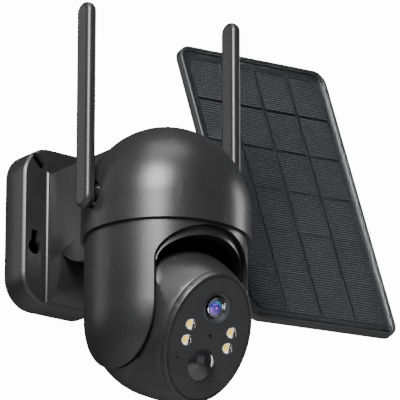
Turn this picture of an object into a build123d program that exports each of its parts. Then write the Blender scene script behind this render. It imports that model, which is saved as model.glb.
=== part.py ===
from build123d import *
import os
from math import cos, radians, sin

os.makedirs("parts", exist_ok=True)

# Solar-powered pan and tilt security camera with its panel, both fastened to one wall.
# Millimetres. +Z is up, the wall is the plane Y = 0, the camera stands out along -Y,
# and the origin is the centre of the wall plate's back face.

# ---------------------------------------------------------------- driving dimensions
WALL = 2.2                      # general wall of the mouldings
GAP = 0.4                       # gap between mouldings that move past each other
FIT = 0.05                      # radial running clearance of pins in bushes

PLATE_W, PLATE_H, PLATE_T = 70.0, 105.0, 20.5
PLATE_CORNER = 20.0
PLATE_FACE_T = 3.0
ARM_W = 32.0                    # the arm that carries the dome
ARM_TOP = 35.0
COLLAR_W, COLLAR_T = 1.6, 1.4   # raised rim round the arm where it leaves the plate
PORT_Y = -52.5                  # charging socket, measured from the wall
AXIS_Y = -123.5                 # pan axis, measured from the wall
SEAM_Z = -32.5                  # lower edge of the dome
DOME_R = 52.8
DOME_SKIRT = 17.0               # straight part of the dome
DOME_RISE = 55.5                # elliptical part of the dome

YOKE_R = 50.4
YOKE_WALL = 2.9
YOKE_TOP = 4.0                  # how far the yoke reaches up inside the dome
ARCH_HALF_W = 36.0
ARCH_RISE = 24.0
ARCH_TOP = -1.7                 # top of the front opening, below the seam
HEAD_DROP = 51.0                # tilt axis below the seam
HEAD_Y = AXIS_Y - 1.4
HEAD_R = 48.0
HEAD_HALF_W = 33.0              # flat sides of the head
ARM_R = 35.0                    # round lower end of the yoke arms
ARM_INNER = 34.2                # inner face of the yoke arms
FACE_N = 46.4                   # tilt axis to the face
FACE_P, FACE_Q = 28.0, 38.0     # half width and half height of the face plate
LIP = 2.0
REST_TILT = 26.0                # face looks down by this much at rest

ANTENNA_L = {"left": 134.4, "right": 147.0}
ANTENNA_W, ANTENNA_T = 14.0, 7.4
ANTENNA_ROUND = 3.3
ANTENNA_X, ANTENNA_Y, ANTENNA_Z = 57.1, AXIS_Y + 6.8, -10.0
ANTENNA_BELOW = 10.0            # blade below its pivot
PIVOT_R = 3.5
RECESS_R, RECESS_X = 8.5, 48.0

PANEL_W, PANEL_H, PANEL_T = 127.7, 205.8, 6.0
PANEL_CORNER = 10.0
PANEL_CENTRE = (144.3, -67.0, 45.1)
PANEL_TILT = 16.0               # leans back by this much
PANEL_TURN = 4.2                # turned in its own plane
CELL_COLS, CELL_ROWS = 4, 6

HEAD_Z = SEAM_Z - HEAD_DROP
axis_at = Pos(0, AXIS_Y, SEAM_Z)
yoke_centre = Pos(0, AXIS_Y, HEAD_Z)
head_at = Pos(0, HEAD_Y, HEAD_Z) * Rot(REST_TILT, 0, 0)
ROUND = 0.5523                  # Bezier handle length that draws a quarter of an ellipse
ALONG = {"X": Rot(0, 90, 0), "Y": Rot(90, 0, 0), "Z": Rot(0, 0, 0)}


# ---------------------------------------------------------------- helpers
def save(shape, node):
    export_step(shape, f"parts/{node}.step")


def cyl(radius, start, end, along="Z", at=(0, 0)):
    """Cylinder between two stations of an axis. at gives the other two coordinates."""
    length = abs(end - start)
    middle = (start + end) / 2
    place = {"X": (middle, at[0], at[1]), "Y": (at[0], middle, at[1]), "Z": (at[0], at[1], middle)}
    return Pos(*place[along]) * ALONG[along] * Cylinder(radius, length)


def tube(outer, inner, start, end, along="Z", at=(0, 0)):
    low, high = sorted((start, end))
    return cyl(outer, low, high, along, at) - cyl(inner, low - 1, high + 1, along, at)


def slab(x, y, z):
    """Box from three (low, high) pairs."""
    size = [b - a for a, b in (x, y, z)]
    centre = [(a + b) / 2 for a, b in (x, y, z)]
    return Pos(*centre) * Box(*size)


def oval(half_w, half_h, y_front, y_back):
    """Elliptical slab that faces -Y."""
    return Pos(0, y_back, 0) * extrude(Plane.XZ * Ellipse(half_w, half_h), y_back - y_front)


def gear(teeth, module, width, bore, phase=0.0):
    """Spur gear on +Z from z = 0, straight-flanked teeth with generous backlash."""
    pitch_r = teeth * module / 2
    root_r = pitch_r - 1.2 * module
    tip_r = pitch_r + 0.8 * module
    root_half, tip_half = 0.86 * module, 0.36 * module
    flank = Polyline((root_r - 0.3 * module, -root_half), (tip_r, -tip_half),
                     (tip_r, tip_half), (root_r - 0.3 * module, root_half), close=True)
    tooth = extrude(make_face(flank), width)
    body = Pos(0, 0, width / 2) * Cylinder(root_r, width)
    for i in range(teeth):
        body += Rot(0, 0, phase + 360 * i / teeth) * tooth
    return body - Pos(0, 0, width / 2) * Cylinder(bore, width + 2)


def dome_solid(radius, rise, skirt, below=0.0):
    """Straight skirt with an elliptical cap, standing on its own z = 0."""
    top = skirt + rise
    crown = Bezier((radius, skirt), (radius, skirt + ROUND * rise), (ROUND * radius, top), (0, top))
    outline = (Line((0, -below), (radius, -below)) + Line((radius, -below), (radius, skirt))
               + crown + Line((0, top), (0, -below)))
    return Rot(0, 0, 60) * revolve(Plane.XZ * make_face(outline), Axis.Z, 360)


def largest(shape):
    return shape.solids().sort_by(SortBy.VOLUME)[-1]


def arm_outline(inset):
    """Side view of the arm, in the YZ plane, shrunk by inset on its free sides."""
    top, front = ARM_TOP - inset, -35.0 + inset
    under, foot = SEAM_Z + 1.0 + inset, -51.0 + inset
    dome_y = AXIS_Y + DOME_R - 14
    back_y = PLATE_FACE_T + 2 - PLATE_T
    toe = (-26.0 + inset, foot + 1.5)
    edge = (Line((back_y, top), (dome_y, top)) + Line((dome_y, top), (dome_y, under))
            + Line((dome_y, under), (-58.5, under))
            + ThreePointArc((-58.5, under), (-44.5 + inset, under + 4.2), (front, -19.0 + inset))
            + ThreePointArc((front, -19.0 + inset), (front + 0.6, -34.0), toe)
            + Line(toe, (back_y, foot)) + Line((back_y, foot), (back_y, top)))
    return make_face(edge)


# ---------------------------------------------------------------- wall plate and arm
def wall_plate():
    outline = RectangleRounded(PLATE_W, PLATE_H, PLATE_CORNER)
    plate = extrude(Plane.XZ * outline, PLATE_T)
    plate = chamfer(plate.edges().group_by(Axis.Y)[0], 1.6)
    hollow = RectangleRounded(PLATE_W - 5, PLATE_H - 5, PLATE_CORNER - 2.5)
    plate -= extrude(Plane.XZ * hollow, PLATE_T - PLATE_FACE_T)
    plate -= slab((-ARM_W / 2, ARM_W / 2), (-PLATE_T - 1, 0), (-51.0, ARM_TOP))
    for side in (-1, 1):
        slot = extrude(Plane.XZ * Rot(0, 0, -45 * -side) * SlotOverall(11.5, 5.2), PLATE_T + 4)
        plate -= Pos(side * 23.5, 0, 43.0) * slot
        plate -= cyl(4.8, -PLATE_T - 1, 0, "Y", (side * 26.0, -15.0))
        plate -= slab((side * 26.0 - 2.6, side * 26.0 + 2.6), (-PLATE_T - 1, 0), (-15.0, -4.0))
    return plate


def bracket_arm():
    outer = extrude(Plane.YZ * arm_outline(0), ARM_W / 2, both=True)
    inner = extrude(Plane.YZ * arm_outline(WALL), ARM_W / 2 - WALL, both=True)
    inner += slab((-ARM_W / 2 + WALL, ARM_W / 2 - WALL), (-PLATE_T + 2.5, 0), (-47.0, ARM_TOP - WALL))
    flange_y = PLATE_FACE_T - PLATE_T
    flange = slab((-ARM_W / 2 - 2.4, ARM_W / 2 + 2.4), (flange_y, flange_y + 2), (-49.5, ARM_TOP + 2.4))
    side = ARM_W / 2 + COLLAR_W
    collar = slab((-side, side), (-PLATE_T - COLLAR_T, -PLATE_T), (-51.0, ARM_TOP + COLLAR_W))
    collar = chamfer(collar.edges().group_by(Axis.Y)[0], 0.8)
    port = slab((-5.2, 5.2), (PORT_Y - 4, PORT_Y + 4), (SEAM_Z - 3, SEAM_Z + 6))
    arm = outer + flange + collar - inner
    arm -= axis_at * dome_solid(DOME_R, DOME_RISE, DOME_SKIRT, 1.0)
    return arm - port


save(wall_plate(), "wall_plate")
save(bracket_arm(), "bracket_arm")
rear_cover = slab((-21, 21), (-1.6, 0), (-49.8, 34)) + slab((-16, 16), (-1.6, 0), (34, 49.8))
save(rear_cover - cyl(4.0, -2.6, 1, "Y", (0, -38)), "rear_cover")
cells = Part()
for level in (17.0, -5.0):
    cells += cyl(9.2, -71.0, -6.0, "Y", (0, level))
save(cells, "battery_cells")
inlet = slab((-5.0, 5.0), (PORT_Y - 3.8, PORT_Y + 3.8), (SEAM_Z + 1.2, SEAM_Z + 9))
inlet -= slab((-4.2, 4.2), (PORT_Y - 1.6, PORT_Y + 1.6), (SEAM_Z, SEAM_Z + 7))
save(inlet, "charging_inlet")
flap = slab((-6.5, 6.5), (PORT_Y - 5.5, PORT_Y + 5.5), (SEAM_Z - 0.7, SEAM_Z + 0.7))
flap += slab((-3.9, 3.9), (PORT_Y - 1.4, PORT_Y + 1.4), (SEAM_Z + 0.7, SEAM_Z + 3.7))
save(flap, "inlet_flap")


# ---------------------------------------------------------------- dome
def dome_shell():
    outer = axis_at * dome_solid(DOME_R, DOME_RISE, DOME_SKIRT)
    inner = axis_at * dome_solid(DOME_R - WALL + 0.2, DOME_RISE - WALL, DOME_SKIRT, 1.0)
    shell = outer - inner
    for side in (-1, 1):
        boss = cyl(10.5, side * (RECESS_X - WALL), side * 60, "X", (ANTENNA_Y, ANTENNA_Z))
        shell += boss & outer
        shell -= cyl(RECESS_R, side * RECESS_X, side * 60, "X", (ANTENNA_Y, ANTENNA_Z))
        shell -= cyl(5.4, side * 40, side * 60, "X", (ANTENNA_Y, ANTENNA_Z))
    half = ARM_W / 2 - WALL
    return shell - slab((-half, half), (AXIS_Y + 30, AXIS_Y + 60), (SEAM_Z + 12, ARM_TOP - 3))


save(dome_shell(), "dome_shell")

BASE_LOW, BASE_HIGH = SEAM_Z + 5.5, SEAM_Z + 8.0
HUB_R, HUB_BORE, BEARING_R = 12.0, 8.0, 16.0
base = cyl(DOME_R - WALL - 0.2, BASE_LOW, BASE_HIGH, "Z", (0, AXIS_Y))
base -= cyl(BEARING_R, BASE_LOW - 1, BASE_HIGH + 1, "Z", (0, AXIS_Y))
save(base, "dome_base_plate")
save(tube(BEARING_R, HUB_R + FIT, BASE_LOW, BASE_HIGH + 0.4, "Z", (0, AXIS_Y)), "pan_bearing")

PAN_MODULE, PAN_TEETH, PAN_PINION_TEETH = 0.8, 60, 12
SHAFT_R = 1.5
pan_centres = PAN_MODULE * (PAN_TEETH + PAN_PINION_TEETH) / 2 + 0.1
GEAR_LOW, GEAR_W = BASE_HIGH + 0.8, 5.0
pan_gear = gear(PAN_TEETH, PAN_MODULE, GEAR_W, HUB_R)
save(Pos(0, AXIS_Y, GEAR_LOW) * pan_gear, "pan_gear")
pinion_phase = 180 / PAN_PINION_TEETH
pan_pinion = gear(PAN_PINION_TEETH, PAN_MODULE, GEAR_W, 1.0, 180 + pinion_phase)
pan_pinion = Pos(pan_centres, AXIS_Y, GEAR_LOW) * pan_pinion
pan_pinion += cyl(SHAFT_R, GEAR_LOW, GEAR_LOW + 16.0, "Z", (pan_centres, AXIS_Y))
save(pan_pinion, "pan_pinion")
motor = tube(14.0, SHAFT_R + FIT, GEAR_LOW + 7.2, GEAR_LOW + 26.2, "Z", (pan_centres, AXIS_Y))
for side in (-1, 1):
    motor += tube(3.2, 1.6, GEAR_LOW + 7.2, GEAR_LOW + 8.4, "Z", (pan_centres, AXIS_Y + side * 16.5))
save(motor, "pan_motor")

BOARD_Z = SEAM_Z + 42.0
board = slab((-30, 30), (AXIS_Y - 24, AXIS_Y + 24), (BOARD_Z, BOARD_Z + 1.6))
save(board, "main_board")

# ---------------------------------------------------------------- antennas
bushes = Part()
inner_face = ANTENNA_X - ANTENNA_T / 2
for side, name in ((-1, "left"), (1, "right")):
    length = ANTENNA_L[name]
    blade = extrude(Plane.YZ * Rot(0, 0, 90) * SlotOverall(length, ANTENNA_W), ANTENNA_T / 2, both=True)
    faces_x = blade.edges().group_by(Axis.X)
    blade = fillet(faces_x[0] + faces_x[-1], ANTENNA_ROUND)
    blade = Pos(side * ANTENNA_X, ANTENNA_Y, ANTENNA_Z - ANTENNA_BELOW + length / 2) * blade
    blade += cyl(PIVOT_R, side * 45.0, side * (inner_face + 1), "X", (ANTENNA_Y, ANTENNA_Z))
    blade += cyl(5.2, side * 43.8, side * 45.4, "X", (ANTENNA_Y, ANTENNA_Z))
    blade += cyl(4.6, side * (RECESS_X + 0.6), side * (inner_face + 1), "X", (ANTENNA_Y, ANTENNA_Z))
    save(blade, f"antenna_{name}")
    bushes += tube(5.4, PIVOT_R + FIT, side * 45.8, side * RECESS_X, "X", (ANTENNA_Y, ANTENNA_Z))
save(bushes, "antenna_bushes")


# ---------------------------------------------------------------- yoke
def arch_cutter(half_w, rise, top, depth_from, depth_to):
    """Front opening: straight sides under a half ellipse, cut along Y."""
    spring = SEAM_Z + top - rise
    shape = Pos(0, spring) * Ellipse(half_w, rise)
    shape += Pos(0, spring - 60) * Rectangle(2 * half_w, 120)
    return Pos(0, depth_to, 0) * extrude(Plane.XZ * shape, depth_to - depth_from)


def yoke_solid(radius, top):
    body = Pos(0, AXIS_Y, 0) * cyl(radius, HEAD_Z, SEAM_Z + top)
    return body + yoke_centre * Sphere(radius)


def arm_disc(radius):
    """Everything above the tilt axis, and a round end below it."""
    keep = slab((-80, 80), (AXIS_Y - 80, AXIS_Y + 80), (HEAD_Z, SEAM_Z + 30))
    return keep + cyl(radius, -80, 80, "X", (AXIS_Y, HEAD_Z))


def yoke_shell():
    shell = yoke_solid(YOKE_R, YOKE_TOP) - yoke_solid(YOKE_R - YOKE_WALL, YOKE_TOP + 2)
    shell &= arm_disc(ARM_R + 0.3)
    shell -= slab((-ARCH_HALF_W, ARCH_HALF_W), (AXIS_Y - 60, AXIS_Y + 60), (HEAD_Z - 60, HEAD_Z))
    return shell - arch_cutter(ARCH_HALF_W, ARCH_RISE, ARCH_TOP, AXIS_Y - 60, AXIS_Y - 12)


def arch_trim():
    spring = SEAM_Z + ARCH_TOP - ARCH_RISE
    ring = Pos(0, AXIS_Y, 0) * tube(YOKE_R - YOKE_WALL, 41.5, spring, SEAM_Z - 2.4)
    ring &= arch_cutter(ARCH_HALF_W - 2, ARCH_RISE, ARCH_TOP, AXIS_Y - 60, AXIS_Y - 12)
    ring -= arch_cutter(ARCH_HALF_W - 3, ARCH_RISE - 6, ARCH_TOP - 6, AXIS_Y - 61, AXIS_Y)
    return ring - Pos(0, HEAD_Y, HEAD_Z) * Sphere(HEAD_R + 0.8)


shell = yoke_shell()
save(shell, "yoke_shell")
save(arch_trim(), "yoke_arch_trim")
top_plate = cyl(YOKE_R - YOKE_WALL, SEAM_Z - 1.9, SEAM_Z + 0.2, "Z", (0, AXIS_Y))
top_plate += cyl(HUB_R, SEAM_Z - 1.9, GEAR_LOW + GEAR_W + 2.0, "Z", (0, AXIS_Y))
top_plate += cyl(HUB_R + 3, SEAM_Z, BASE_LOW - 0.4, "Z", (0, AXIS_Y))
top_plate -= cyl(HUB_BORE, SEAM_Z - 3, SEAM_Z + 30, "Z", (0, AXIS_Y))
save(top_plate, "yoke_hub")

TILT_MODULE, TILT_TEETH, TILT_PINION_TEETH = 0.8, 30, 12
tilt_centres = TILT_MODULE * (TILT_TEETH + TILT_PINION_TEETH) / 2 + 0.1
BUSH_R, AXLE_R = 8.5, 5.0
COVER_T = 1.8
cover_screws = Part()
for side, name in ((-1, "left"), (1, "right")):
    inner_x, outer_x = side * ARM_INNER, side * (ARM_INNER + COVER_T)
    cover = cyl(ARM_R - 0.6, inner_x, outer_x, "X", (AXIS_Y, HEAD_Z))
    low_x, high_x = sorted((inner_x, outer_x))
    cover += slab((low_x, high_x), (AXIS_Y - ARM_R + 0.6, AXIS_Y + ARM_R - 0.6), (HEAD_Z, SEAM_Z - 2.2))
    cover &= yoke_solid(YOKE_R - 0.3, 0)
    cover -= shell
    hole = BUSH_R if side < 0 else AXLE_R
    cover -= cyl(hole, side * 30, side * 40, "X", (HEAD_Y, HEAD_Z))
    for dy, dz in ((-20, 18), (20, 18), (-20, -18), (20, -18)):
        cover -= cyl(1.6, side * 30, side * 40, "X", (AXIS_Y + dy, HEAD_Z + dz))
    save(cover, f"arm_cover_{name}")
    for dy, dz in ((-20, 18), (20, 18), (-20, -18), (20, -18)):
        cover_screws += cyl(1.5, side * (ARM_INNER + 0.4), side * 37.5, "X", (AXIS_Y + dy, HEAD_Z + dz))
save(cover_screws, "arm_cover_screws")

save(tube(BUSH_R, 6 + FIT, -ARM_INNER, -ARM_INNER - 4, "X", (HEAD_Y, HEAD_Z)), "tilt_bush_left")
trunnion = tube(6.0, 4.0, -HEAD_HALF_W + WALL, -ARM_INNER - 6, "X", (HEAD_Y, HEAD_Z))
trunnion += tube(9.0, 4.0, -HEAD_HALF_W + WALL, -HEAD_HALF_W + WALL + 2, "X", (HEAD_Y, HEAD_Z))
save(trunnion, "tilt_trunnion")
GEAR_X, TILT_GEAR_W = 22.0, 4.5
axle = cyl(AXLE_R, GEAR_X - 1, 43.0, "X", (HEAD_Y, HEAD_Z))
axle += cyl(9.0, ARM_INNER + COVER_T, ARM_INNER + COVER_T + 2, "X", (HEAD_Y, HEAD_Z))
save(axle, "tilt_axle")
bush = tube(BUSH_R, AXLE_R + FIT, HEAD_HALF_W - WALL - 2, HEAD_HALF_W, "X", (HEAD_Y, HEAD_Z))
save(bush, "tilt_bush_right")
tilt_gear = gear(TILT_TEETH, TILT_MODULE, TILT_GEAR_W, AXLE_R)
save(Pos(GEAR_X, HEAD_Y, HEAD_Z) * ALONG["X"] * tilt_gear, "tilt_gear")


# ---------------------------------------------------------------- head
# Modelled with the tilt axis through the origin and the face towards -Y, then turned down.
def nose_section(along, half_w, half_h):
    return Plane(origin=(0, -along, 0), x_dir=(1, 0, 0), z_dir=(0, -1, 0)) * Ellipse(half_w, half_h)


def head_solid(radius, half_w, half_h, nose):
    """A ball with an oval nose, cut flat at both sides by the caller."""
    root = radius - 0.1
    sections = [(0, 1.0, 1.0), (0.474, 0.56, 0.80), (0.776, 0.235, 0.43), (1.0, 0.0, 0.0)]
    snout = loft([nose_section(along * nose, half_w + (root - half_w) * wide, half_h + (root - half_h) * tall)
                  for along, wide, tall in sections])
    return Rot(120, 0, 0) * ALONG["X"] * Sphere(radius) + snout


def sides(half_w):
    return Box(2 * half_w, 200, 200)


def in_head(shape, node):
    save(head_at * shape, node)


LENS = (0.0, 18.7)
PIR = (0.0, -17.0)
PIR_R = 9.9
LENS_HOLE_R = 10.4
LEDS = [(x, z) for x in (-15.6, 15.6) for z in (6.0, -3.7)]
LED_R = 3.7
MIC = (-19.3, -15.4)
SENSOR = (0.0, 1.0)
CARD_TILT = Rot(80, 0, 0)           # the card cover sits under the chin
BEZEL_T = 4.0
SPLIT_Y = 14.0

outer = head_solid(HEAD_R, FACE_P + LIP, FACE_Q + LIP, FACE_N) & sides(HEAD_HALF_W)
inner = head_solid(HEAD_R - WALL, FACE_P, FACE_Q, FACE_N) & sides(HEAD_HALF_W - WALL)
bezel_zone = Pos(0, -FACE_N - 20 + BEZEL_T, 0) * Box(200, 40, 200)
rear_zone = Pos(0, SPLIT_Y + 50, 0) * Box(200, 100, 200)
card_plug = CARD_TILT * Pos(0, -44, 0) * extrude(Plane.XZ * SlotOverall(30, 13), 8)
card_hole = CARD_TILT * Pos(0, -40, 0) * extrude(Plane.XZ * SlotOverall(30.9, 13.9), 12)
shell = largest(outer - inner) - cyl(6.0, -40, -25, "X") - cyl(BUSH_R, 25, 40, "X") - card_hole
in_head(shell - bezel_zone - rear_zone, "head_front_shell")
rear = shell & rear_zone
for ring, count in ((0, 1), (4, 6), (8, 12)):
    for i in range(count):
        angle = radians(360 * i / count)
        rear -= cyl(0.8, 30, 60, "Y", (ring * cos(angle), ring * sin(angle)))
in_head(rear, "head_rear_shell")
bezel = (outer & bezel_zone) - oval(FACE_P + 0.25, FACE_Q + 0.25, -FACE_N - 1, -FACE_N + 2.9)
bezel -= oval(FACE_P - 1.5, FACE_Q - 1.5, -FACE_N - 1, -FACE_N + 6)
in_head(largest(bezel), "face_bezel")

plate = oval(FACE_P, FACE_Q, -FACE_N + 0.2, -FACE_N + 2.8)
plate -= cyl(LENS_HOLE_R, -50, -40, "Y", LENS) + cyl(PIR_R + 0.1, -50, -40, "Y", PIR)
plate -= cyl(1.6, -50, -40, "Y", SENSOR) + cyl(0.6, -50, -40, "Y", MIC)
for place in LEDS:
    plate -= cyl(LED_R + 0.05, -50, -40, "Y", place)
in_head(plate, "face_plate")

BOARD_FRONT = -FACE_N + 4.1
led_board = oval(25.5, 35.5, BOARD_FRONT, BOARD_FRONT + 1.4) - cyl(9.0, -50, -38, "Y", LENS)
in_head(led_board, "led_board")
chips, lenses = Part(), Part()
for x, z in LEDS:
    chips += slab((x - 1.6, x + 1.6), (BOARD_FRONT - 0.8, BOARD_FRONT), (z - 1.6, z + 1.6))
    lens = cyl(LED_R, -FACE_N + 0.5, BOARD_FRONT - 0.85, "Y", (x, z))
    ball = Pos(x, -FACE_N + 3.6, z) * Sphere(4.4)
    lenses += lens + (ball & cyl(LED_R, -FACE_N - 1, -FACE_N + 1, "Y", (x, z)))
in_head(chips, "led_chips")
in_head(lenses, "led_lenses")

barrel = tube(8.8, 5.0, -FACE_N + 3.2, -20.0, "Y", LENS) + tube(7.4, 4.0, -20.0, -17.0, "Y", LENS)
in_head(barrel, "lens_barrel")
cone = Pos(LENS[0], -FACE_N + 1.7, LENS[1]) * Rot(-90, 0, 0) * Cone(9.6, 6.2, 2.4)
ring = cyl(LENS_HOLE_R - 0.1, -FACE_N + 0.5, -FACE_N + 2.9, "Y", LENS)
in_head(ring - cone - cyl(6.2, -50, -40, "Y", LENS), "lens_ring")
glass = cyl(6.15, -FACE_N + 0.5, -FACE_N + 2.9, "Y", LENS)
lens_ball = Pos(LENS[0], -FACE_N + 13.2, LENS[1]) * Sphere(14.2)
glass += lens_ball & cyl(6.15, -FACE_N - 2, -FACE_N + 0.6, "Y", LENS)
in_head(glass, "lens_glass")
sensor_board = slab((LENS[0] - 15, LENS[0] + 15), (-16.9, -15.5), (LENS[1] - 15, LENS[1] + 15))
in_head(sensor_board, "image_sensor_board")

pir_ball = Pos(PIR[0], -FACE_N + 10.2, PIR[1])
pir = cyl(PIR_R, -FACE_N + 0.2, -FACE_N + 3.6, "Y", PIR)
pir += pir_ball * Sphere(14.0) & cyl(PIR_R - 0.1, -FACE_N - 8, -FACE_N + 1, "Y", PIR)
hollow = cyl(PIR_R - 1.3, -FACE_N + 0.1, -FACE_N + 4, "Y", PIR)
hollow += pir_ball * Sphere(12.8) & cyl(PIR_R - 1.3, -FACE_N - 8, -FACE_N + 1, "Y", PIR)
in_head(pir - hollow, "pir_lens")
in_head(cyl(4.6, BOARD_FRONT - 3.6, BOARD_FRONT, "Y", PIR), "pir_sensor")
in_head(cyl(13.0, 36.0, 42.0, "Y"), "speaker")
in_head(slab((-20, 20), (-10.0, -8.4), (-36, 36)), "head_board")

in_head(card_plug & outer, "card_cover")
in_head(CARD_TILT * slab((-12, 2), (-43.4, -39.4), (-5, 5)), "card_slot")
for x, name in ((6.0, "reset_button"), (10.5, "power_button")):
    in_head(CARD_TILT * cyl(1.5, -42.8, -40.2, "Y", (x, 0)), name)

# The tilt motor rides in the head and walks its pinion round the gear fixed on the axle.
MESH_ANGLE = 30.0                   # from +Y towards +Z, where a gear tooth points
drive_y = HEAD_Y + tilt_centres * cos(radians(MESH_ANGLE))
drive_z = HEAD_Z + tilt_centres * sin(radians(MESH_ANGLE))
tilt_pinion = gear(TILT_PINION_TEETH, TILT_MODULE, TILT_GEAR_W, 1.0, 180 / TILT_PINION_TEETH)
tilt_pinion = Pos(GEAR_X, drive_y, drive_z) * ALONG["X"] * tilt_pinion
tilt_pinion += cyl(SHAFT_R, 12.0, GEAR_X + TILT_GEAR_W, "X", (drive_y, drive_z))
save(tilt_pinion, "tilt_pinion")
save(tube(12.5, SHAFT_R + FIT, 3.0, 20.5, "X", (drive_y, drive_z)), "tilt_motor")


# ---------------------------------------------------------------- solar panel
# Modelled face up in its own plane, then leaned back and turned.
turn, lean = radians(PANEL_TURN), radians(PANEL_TILT)
panel_x = Vector(cos(turn), sin(turn) * sin(lean), sin(turn) * cos(lean))
panel_n = Vector(0, -cos(lean), sin(lean))
panel_at = Plane(origin=PANEL_CENTRE, x_dir=panel_x, z_dir=panel_n).location
lean_at = Plane(origin=PANEL_CENTRE, x_dir=(1, 0, 0), z_dir=panel_n).location
PIVOT_BACK = 22.0                   # face to tilt pin
PIN_BEHIND = 27.8                   # tilt pin to swivel pin
pivot = Vector(*PANEL_CENTRE) - panel_n * PIVOT_BACK
SWIVEL_Y = pivot.Y + PIN_BEHIND


def rim(width, height, corner, low, high):
    return Pos(0, 0, low) * extrude(RectangleRounded(width, height, corner), high - low)


frame = rim(PANEL_W, PANEL_H, PANEL_CORNER, -PANEL_T + 0.8, 0.8)
frame = fillet(frame.edges().group_by(Axis.Z)[-1], 1.2)
frame -= rim(PANEL_W - 4.4, PANEL_H - 4.4, PANEL_CORNER - 2.2, -3.4, 2)
frame -= rim(PANEL_W - 9, PANEL_H - 9, PANEL_CORNER - 4.5, -20, 0)
frame -= rim(PANEL_W - 4.4, PANEL_H - 4.4, PANEL_CORNER - 2.2, -20, -PANEL_T + 2.8)
save(panel_at * frame, "panel_frame")
inset_w, inset_h, inset_r = PANEL_W - 4.8, PANEL_H - 4.8, PANEL_CORNER - 2.4
save(panel_at * rim(inset_w, inset_h, inset_r, -2.0, 0), "panel_glass")
CELL_GAP_X, CELL_GAP_Y = 2.6, 0.8
cell_w = (PANEL_W - 15 - CELL_GAP_X * (CELL_COLS - 1)) / CELL_COLS
cell_h = (PANEL_H - 17 - CELL_GAP_Y * (CELL_ROWS - 1)) / CELL_ROWS
cell_array = Part()
for col in range(CELL_COLS):
    for row in range(CELL_ROWS):
        x = (col - (CELL_COLS - 1) / 2) * (cell_w + CELL_GAP_X)
        y = (row - (CELL_ROWS - 1) / 2) * (cell_h + CELL_GAP_Y)
        cell_array += Pos(x, y, -2.3) * Box(cell_w, cell_h, 0.4)
save(panel_at * cell_array, "solar_cells")
BACK = -PANEL_T + 0.8
back = rim(inset_w, inset_h, inset_r, BACK, BACK + 1.9)
save(panel_at * back, "panel_back_cover")
outlet = Pos(0, -72, BACK - 4) * ALONG["Y"] * Cylinder(3.6, 8)
outlet_bore = Pos(0, -74, BACK - 4) * ALONG["Y"] * Cylinder(2.4, 6)
save(panel_at * (Pos(0, -56, BACK - 4) * Box(40, 26, 8) + outlet - outlet_bore), "junction_box")
mount_plate = Pos(0, 0, BACK - 1.6) * (Cylinder(19, 3.2) - Cylinder(3.05, 5))
save(panel_at * mount_plate, "panel_mount_plate")

fork = Pos(0, 0, BACK - 4.6) * Cylinder(11, 2.2)
for side in (-1, 1):
    ear = Pos(side * 8.5, 0, BACK - 5.7 - 4) * Box(5, 13, 8) + Pos(side * 8.5, 0, -PIVOT_BACK) * (
        Rot(0, 90, 0) * Cylinder(6.5, 5))
    ear += Pos(side * 8.5, 0, (BACK - 5.7 - PIVOT_BACK) / 2) * Box(5, 13, PIVOT_BACK + BACK - 5.7)
    fork += ear
fork -= Pos(0, 0, -PIVOT_BACK) * Rot(0, 90, 0) * Cylinder(2.5 + FIT, 40)
fork += Pos(0, 0, BACK - 1.8) * Cylinder(3.0, 3.4)
save(lean_at * fork, "tilt_fork")

pin_y, pin_z = pivot.Y, pivot.Z
pin_x = PANEL_CENTRE[0]
block = slab((pin_x - 5.7, pin_x + 5.7), (pin_y - 1, SWIVEL_Y + 1), (pin_z - 6, pin_z + 6))
block += cyl(6.0, pin_x - 5.7, pin_x + 5.7, "X", (pin_y, pin_z))
block += cyl(6.2, pin_z - 6, pin_z + 6, "Z", (pin_x, SWIVEL_Y))
block -= cyl(2.5, pin_x - 20, pin_x + 20, "X", (pin_y, pin_z))
block -= cyl(2.5 + FIT, pin_z - 20, pin_z + 20, "Z", (pin_x, SWIVEL_Y))
save(block, "swivel_block")
bolt = cyl(2.5, pin_x - 13.5, pin_x + 17.0, "X", (pin_y, pin_z))
bolt += cyl(4.6, pin_x - 14.5, pin_x - 11.4, "X", (pin_y, pin_z))
save(bolt, "tilt_bolt")
knob = tube(7.0, 2.5 + FIT, pin_x + 11.6, pin_x + 18.6, "X", (pin_y, pin_z))
for i in range(6):
    angle = radians(60 * i)
    knob += cyl(2.2, pin_x + 11.6, pin_x + 18.6, "X", (pin_y + 7 * cos(angle), pin_z + 7 * sin(angle)))
save(knob, "lock_knob")
BASE_FACE = -5.0
wall_base = cyl(27.0, BASE_FACE, 0, "Y", (pin_x, pin_z))
for side in (-1, 1):
    lug = slab((pin_x - 6.2, pin_x + 6.2), (SWIVEL_Y, BASE_FACE), (pin_z + side * 9 - 2.6, pin_z + side * 9 + 2.6))
    wall_base += lug + cyl(6.2, pin_z + side * 9 - 2.6, pin_z + side * 9 + 2.6, "Z", (pin_x, SWIVEL_Y))
wall_base -= cyl(2.5, pin_z - 20, pin_z + 20, "Z", (pin_x, SWIVEL_Y))
BASE_HOLES = 36.0
for dx in (-1, 1):
    for dz in (-1, 1):
        wall_base -= cyl(2.25, -20, 10, "Y", (pin_x + dx * BASE_HOLES / 2, pin_z + dz * BASE_HOLES / 2))
save(wall_base, "panel_wall_base")
save(cyl(2.5, pin_z - 12.4, pin_z + 12.4, "Z", (pin_x, SWIVEL_Y)), "swivel_pin")
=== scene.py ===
"""Looks of a solar-powered pan and tilt security camera and its panel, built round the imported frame."""

import logging
import math
from dataclasses import dataclass, field
from enum import Enum

import bmesh
import bpy
from mathutils import Matrix, Vector


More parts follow.
